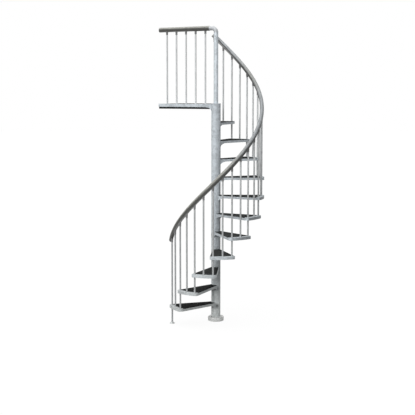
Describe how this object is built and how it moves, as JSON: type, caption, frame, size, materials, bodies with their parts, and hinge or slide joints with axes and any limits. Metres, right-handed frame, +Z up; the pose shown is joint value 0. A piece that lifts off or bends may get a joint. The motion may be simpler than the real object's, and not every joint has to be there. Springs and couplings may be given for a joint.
{
  "type": "spiral staircase",
  "caption": "Outdoor spiral staircase of galvanised steel with dark wedge treads round a column, slim balusters, a helical handrail and a small railed platform at the top.",
  "frame": {"origin": "on the floor, at the middle of the base plate's underside, under the column's axis", "axes": "+Z up along the column; +X to the right in the front view; -Y towards the viewer; the stair climbs counter-clockwise seen from above"},
  "size_m": [1.3823, 1.5072, 3.826],
  "materials": {
    "galvanised_steel": "galvanised",
    "baluster": "galvanised",
    "base_cover": "satin",
    "board": "matt",
    "dark_fitting": "matt",
    "handrail": "satin",
    "rail_elbow": "satin"
  },
  "bodies": {
    "root": {"base_plate": "galvanised_steel", "baluster_foot": "galvanised_steel", "centre_pole": "galvanised_steel", "spacer_tubes": "galvanised_steel", "column_cap": "galvanised_steel", "tread_frame_01": "galvanised_steel", "tread_frame_02": "galvanised_steel", "tread_frame_03": "galvanised_steel", "tread_frame_04": "galvanised_steel", "tread_frame_05": "galvanised_steel", "tread_frame_06": "galvanised_steel", "tread_frame_07": "galvanised_steel", "tread_frame_08": "galvanised_steel", "tread_frame_09": "galvanised_steel", "tread_frame_10": "galvanised_steel", "tread_frame_11": "galvanised_steel", "platform_frame": "galvanised_steel", "base_cover": "base_cover", "tread_board_01": "board", "tread_board_02": "board", "tread_board_03": "board", "tread_board_04": "board", "tread_board_05": "board", "tread_board_06": "board", "tread_board_07": "board", "tread_board_08": "board", "tread_board_09": "board", "tread_board_10": "board", "tread_board_11": "board", "platform_board": "board", "platform_bearers": "board", "nosing_balusters": "baluster", "middle_balusters": "baluster", "platform_balusters": "baluster", "baluster_tips": "dark_fitting", "spiral_rail_caps": "dark_fitting", "platform_baluster_tips": "dark_fitting", "platform_rail_cap": "dark_fitting", "spiral_handrail_01": "handrail", "spiral_handrail_02": "handrail", "spiral_handrail_03": "handrail", "spiral_handrail_04": "handrail", "platform_handrail": "handrail", "rail_elbow": "rail_elbow"}
  },
  "joints": []
}
